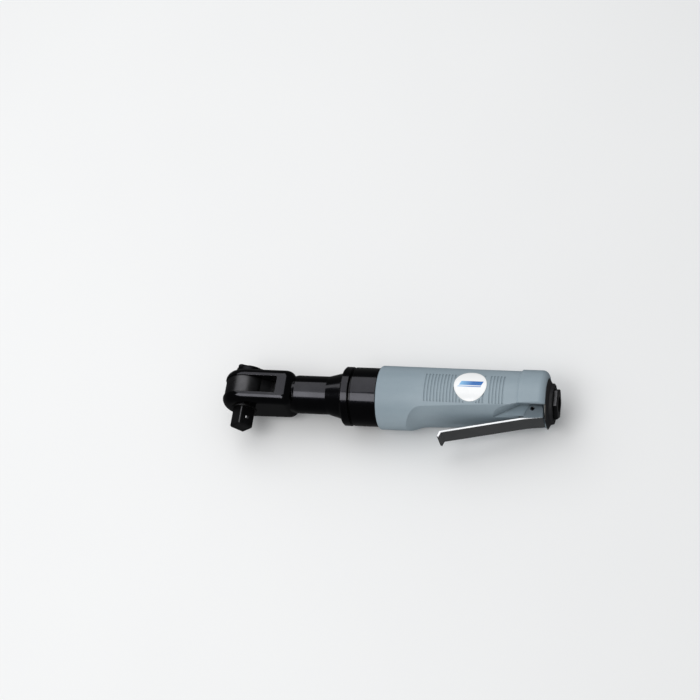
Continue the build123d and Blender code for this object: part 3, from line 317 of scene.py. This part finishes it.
BLACK_WEAR = (0.30, 0.29, 0.30)
black_steel = worked_metal(
    "gloss_black_steel", (0.014, 0.014, 0.018), (0.024, 0.024, 0.029), (0.10, 0.20), RINGS, BLACK_WEAR,
    scratch=0.06, Coat_Weight=0.5, Coat_Roughness=0.05, Coat_IOR=1.5,
)
knob_black = worked_metal(
    "satin_black_knob", (0.016, 0.016, 0.018), (0.028, 0.028, 0.030), (0.28, 0.42), TURNED, BLACK_WEAR,
    scratch=0.15,
)
inlet_steel = worked_metal(
    "blackened_steel", (0.07, 0.07, 0.075), (0.12, 0.12, 0.125), (0.24, 0.38), RINGS, (0.45, 0.44, 0.43),
    scratch=0.3,
)
grip = moulded(
    "grey_blue_composite", (0.235, 0.297, 0.338), (0.292, 0.358, 0.400), (0.36, 0.50), 2300, 0.06,
    (0.42, 0.48, 0.52), 0.35, IOR=1.46,
)
chrome = worked_metal(
    "bright_chrome", (0.72, 0.73, 0.75), (0.84, 0.85, 0.86), (0.03, 0.09), ALONG, dirt_and_shade=0.35, scratch=0.03,
)
square_steel = worked_metal(
    "oiled_steel_turned", (0.075, 0.075, 0.08), (0.125, 0.125, 0.13), (0.24, 0.38), TURNED,
    (0.45, 0.44, 0.43), 0.6, 0.12,
)
bright_steel = worked_metal(
    "ground_steel", (0.48, 0.48, 0.50), (0.62, 0.62, 0.63), (0.14, 0.26), RINGS, (0.8, 0.8, 0.8), 0.5, 0.3,
)
wire = worked_metal("spring_wire", (0.22, 0.22, 0.23), (0.36, 0.36, 0.37), (0.22, 0.34), ALONG, dirt_and_shade=0.6)
pin_steel = worked_metal(
    "black_spring_pin", (0.05, 0.05, 0.052), (0.09, 0.09, 0.09), (0.26, 0.4), ALONG, dirt_and_shade=0.7,
)
aluminium = worked_metal(
    "cast_aluminium", (0.50, 0.51, 0.52), (0.66, 0.66, 0.67), (0.30, 0.46), RINGS,
    (0.82, 0.82, 0.82), 0.55, 0.4,
)
bronze = worked_metal(
    "turned_bronze", (0.46, 0.29, 0.12), (0.62, 0.42, 0.20), (0.22, 0.36), RINGS, (0.78, 0.6, 0.34), 0.6, 0.3,
)
vane = moulded(
    "phenolic_vane", (0.12, 0.06, 0.025), (0.22, 0.12, 0.05), (0.5, 0.66), 3400, 0.04,
    (0.3, 0.2, 0.1), IOR=1.5,
)
rubber = moulded("seal_rubber", (0.012, 0.012, 0.012), (0.024, 0.024, 0.023), (0.5, 0.7), 4000, 0.03, IOR=1.5)
seat = moulded("acetal_seat", (0.60, 0.58, 0.52), (0.74, 0.72, 0.66), (0.3, 0.42), 3000, 0.02, IOR=1.48)
deflector = moulded(
    "black_moulding", (0.010, 0.010, 0.011), (0.022, 0.022, 0.024), (0.34, 0.5), 2400, 0.04,
    (0.09, 0.09, 0.09), 0.5, IOR=1.5,
)
felt = felt_material()
label = label_print()
housing_skin = housing_material()

BY_SLOT = {
    "black_steel": black_steel,
    "grip_composite": grip,
    "chrome_lever": chrome,
    "square_steel": square_steel,
    "knob_black": knob_black,
    "inlet_steel": inlet_steel,
    "bright_steel": bright_steel,
    "spring_steel": wire,
    "cast_aluminium": aluminium,
    "bronze": bronze,
    "vane_resin": vane,
    "rubber": rubber,
    "seat_plastic": seat,
    "deflector_black": deflector,
    "felt": felt,
    "label_white": label,
}
for part in frame["record"]["subparts"]:
    mesh_slots = nodes[part["node"]].material_slots
    for mesh_slot in mesh_slots:
        mesh_slot.material = BY_SLOT[part["material_slot"]]
for mesh_slot in nodes["motor_housing"].material_slots:
    mesh_slot.material = housing_skin


# Mesh building

def piece(name, points, faces, material, body, smooth=True):
    mesh = bpy.data.meshes.new(name)
    mesh.from_pydata([tuple(p) for p in points], [], faces)
    mesh.validate()
    mesh.update()
    for face in mesh.polygons:
        face.use_smooth = smooth
    mesh.materials.append(material)
    made = bpy.data.objects.new(name, mesh)
    bpy.context.scene.collection.objects.link(made)
    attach(made, body)
    return made


def swept(path, ring, closed=False):
    """Points and faces of a closed ring of (normal, binormal) offsets carried along a path."""
    count, sides = len(path), len(ring)
    normal = None
    points = []
    for index, here in enumerate(path):
        before = path[index - 1] if index or closed else here
        after = path[(index + 1) % count] if index + 1 < count or closed else here
        ahead = (after - before).normalized()
        if normal is None:
            normal = ahead.orthogonal()
        normal = (normal - ahead * normal.dot(ahead)).normalized()
        side = ahead.cross(normal)
        points += [here + normal * a + side * b for a, b in ring]
    faces = []
    for index in range(count if closed else count - 1):
        follow = (index + 1) % count
        for k in range(sides):
            m = (k + 1) % sides
            faces.append((index * sides + k, index * sides + m, follow * sides + m, follow * sides + k))
    if not closed:
        faces.append(tuple(reversed(range(sides))))
        faces.append(tuple(range((count - 1) * sides, count * sides)))
    return points, faces


def round_ring(radius, sides=10):
    return [(radius * cos(2 * pi * k / sides), radius * sin(2 * pi * k / sides)) for k in range(sides)]


def coil_spring(name, node, foot, way, length, radius, wire_r, turns, body):
    """Compression spring with closed ends, in place of the plain tube of the CAD node."""
    way = way.normalized()
    across = way.orthogonal().normalized()
    beside = way.cross(across)
    steps = int(turns * 20)
    path = []
    for step in range(steps + 1):
        share = step / steps
        spin = 2 * pi * turns * share
        dead = 1.0 / turns
        rise = min(1.0, max(0.0, (share - dead) / (1.0 - 2 * dead)))
        climb = wire_r + (length - 2 * wire_r) * (0.08 * share + 0.92 * rise)
        outward = (across * cos(spin) + beside * sin(spin)) * radius
        path.append(foot + way * min(climb, length - wire_r) + outward)
    points, faces = swept(path, round_ring(wire_r))
    made = piece(name, points, faces, wire, body)
    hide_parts(node)
    return made


square_turn = radians(40)
square_way = Vector((cos(square_turn), 0, sin(square_turn)))
ball_foot = square_way * (6.35 - 5.1) * MM + Vector((0, -7.3 * MM, 0))
coil_spring(
    "socket_ball_coil", "socket_ball_spring", ball_foot, square_way, 1.85 * MM, 1.15 * MM, 0.2 * MM, 4,
    "anvil",
)
plunger_way = Vector((cos(radians(30)), 0, -sin(radians(30))))
plunger_foot = Vector((0, AXIS_Y, 0)) - plunger_way * 3.1 * MM
coil_spring(
    "plunger_coil", "plunger_spring", plunger_foot, plunger_way, 5.4 * MM, 0.8 * MM, 0.19 * MM, 8, "knob",
)
valve_foot = Vector((205 * MM, AXIS_Y + 5.1 * MM, 0))
throttle_coil = coil_spring(
    "throttle_coil", "throttle_spring", valve_foot, Vector((0, 1, 0)), 4.9 * MM, 2.7 * MM, 0.3 * MM, 5,
    "tool",
)
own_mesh(throttle_coil)


def spring_pin():
    """Rolled pin through the lever: a C-shaped tube with chamfered ends, in place of the plain pin."""
    outer, inner, gap, arcs = 1.5 * MM, 0.85 * MM, radians(26), 28
    low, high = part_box("lever_pin")
    centre = Vector((220.5 * MM, (low.y + high.y) / 2, 0))
    levels = [(low.z, 0.25), (low.z + 0.35 * MM, 0.0), (high.z - 0.35 * MM, 0.0), (high.z, 0.25)]
    points = []
    for z, shrink in levels:
        for radius in (outer - shrink * MM, inner):
            for k in range(arcs + 1):
                spin = gap / 2 + (2 * pi - gap) * k / arcs + radians(60)
                points.append((centre.x + radius * cos(spin), centre.y + radius * sin(spin), z))
    row = arcs + 1
    faces = []
    for level in range(len(levels) - 1):
        a, b = level * 2 * row, (level + 1) * 2 * row
        for k in range(arcs):
            faces.append((a + k, a + k + 1, b + k + 1, b + k))
            faces.append((a + row + k + 1, a + row + k, b + row + k, b + row + k + 1))
        faces.append((a + row, a, b, b + row))
        faces.append((a + arcs, a + row + arcs, b + row + arcs, b + arcs))
    top = (len(levels) - 1) * 2 * row
    for k in range(arcs):
        faces.append((k + 1, k, row + k, row + k + 1))
        faces.append((top + k, top + k + 1, top + row + k + 1, top + row + k))
    made = piece("lever_spring_pin", points, faces, pin_steel, "tool", smooth=False)
    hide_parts("lever_pin")


spring_pin()


def inlet_thread():
    """Internal pipe thread of the air inlet, a helical ridge on the wall of the bore."""
    pitch, depth, radius = 1.34 * MM, 0.5 * MM, 5.74 * MM
    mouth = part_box("air_inlet_bushing")[1].x
    turns, steps = 7, 48
    points, faces = [], []
    for step in range(turns * steps + 1):
        spin = 2 * pi * step / steps
        station = mouth - 0.9 * MM - pitch * step / steps
        taper = min(1.0, step / steps, (turns * steps - step) / steps)
        for shift, rise in ((-0.5, 0.0), (-0.08, 1.0), (0.08, 1.0), (0.5, 0.0)):
            r = radius - depth * rise * (0.1 + 0.9 * taper)
            points.append((station + shift * pitch * 0.96, AXIS_Y + r * cos(spin), r * sin(spin)))
    for step in range(turns * steps):
        a, b = step * 4, (step + 1) * 4
        for k in range(4):
            m = (k + 1) % 4
            faces.append((a + k, a + m, b + m, b + k))
    faces.append((3, 2, 1, 0))
    end = turns * steps * 4
    faces.append((end, end + 1, end + 2, end + 3))
    piece("inlet_thread", points, faces, inlet_steel, "tool")


inlet_thread()


def felt_ring():
    """Pressed felt ring behind the exhaust holes: rounded, slightly uneven, in place of the CAD ring."""
    low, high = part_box("muffler_felt")
    middle = (low.x + high.x) / 2
    half = (high.x - low.x) / 2 - 0.08 * MM
    inner, outer = 11.05 * MM, 13.92 * MM
    ring_r, reach = (inner + outer) / 2, (outer - inner) / 2
    points, faces = [], []
    rounds, sides = 120, 24
    for index in range(rounds):
        spin = 2 * pi * index / rounds
        for k in range(sides):
            a = 2 * pi * k / sides
            flat_x = abs(cos(a)) ** 0.45 * (1 if cos(a) >= 0 else -1)
            flat_r = abs(sin(a)) ** 0.45 * (1 if sin(a) >= 0 else -1)
            where = Vector((cos(spin) * 5, sin(spin) * 5, a))
            shrink = 0.94 + 0.05 * noise.noise(where * 1.3)
            r = ring_r + reach * flat_r * shrink
            points.append((middle + half * flat_x * shrink, AXIS_Y + r * cos(spin), r * sin(spin)))
        for k in range(sides):
            m, follow = (k + 1) % sides, (index + 1) % rounds
            faces.append((index * sides + k, index * sides + m, follow * sides + m, follow * sides + k))
    made = piece("felt_ring", points, faces, felt, "tool")
    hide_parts("muffler_felt")


felt_ring()


# Floor, lights and surroundings

floor_z = cad_box[0][2]
floor_mesh = bpy.data.meshes.new("floor")
FLOOR = 8.0
floor_mesh.from_pydata(
    [(-FLOOR, -FLOOR, floor_z), (FLOOR, -FLOOR, floor_z), (FLOOR, FLOOR, floor_z), (-FLOOR, FLOOR, floor_z)],
    [], [(0, 1, 2, 3)],
)
floor = bpy.data.objects.new("floor", floor_mesh)
bpy.context.scene.collection.objects.link(floor)
floor_paint = Paint("pale_floor", IOR=1.4)
floor_tone = floor_paint.blend(floor_paint.grain(3, 3), (0.80, 0.80, 0.80), (0.84, 0.84, 0.835))
floor_paint.set("Base Color", floor_tone)
floor_paint.set("Roughness", floor_paint.span(floor_paint.grain(9, 3), 0.3, 0.7, 0.6, 0.75))
floor_mesh.materials.append(floor_paint.material)
floor.visible_glossy = False


def softbox(name, where, target, width, height, radiance):
    data = bpy.data.lights.new(name, "AREA")
    data.shape = "RECTANGLE"
    data.size = width
    data.size_y = height
    data.energy = radiance * pi * width * height
    lamp = bpy.data.objects.new(name, data)
    bpy.context.scene.collection.objects.link(lamp)
    lamp.location = where
    aim(lamp, Vector(where) - Vector(target))


middle = (0.08, AXIS_Y, 0)
softbox("overhead", (-0.31, AXIS_Y + 0.51, 1.09), middle, 1.00, 1.30, 1.25)
softbox("front", (-0.35, -0.52, 1.24), middle, 1.00, 0.60, 3.4)

world = bpy.data.worlds.new("studio")
bpy.context.scene.world = world
world.use_nodes = True
sky = world.node_tree
background = sky.nodes["Background"]
background.inputs["Color"].default_value = (0.97, 0.985, 1.0, 1)
ray = sky.nodes.new("ShaderNodeLightPath")


def sky_mix(factor, low, high):
    made = sky.nodes.new("ShaderNodeMapRange")
    sky.links.new(factor, made.inputs["Value"])
    for key, value in (("To Min", low), ("To Max", high)):
        if isinstance(value, float):
            made.inputs[key].default_value = value
        else:
            sky.links.new(value, made.inputs[key])
    return made.outputs["Result"]


dim = sky_mix(ray.outputs["Is Glossy Ray"], 0.64, 0.055)
sky.links.new(sky_mix(ray.outputs["Is Camera Ray"], dim, 0.86), background.inputs["Strength"])
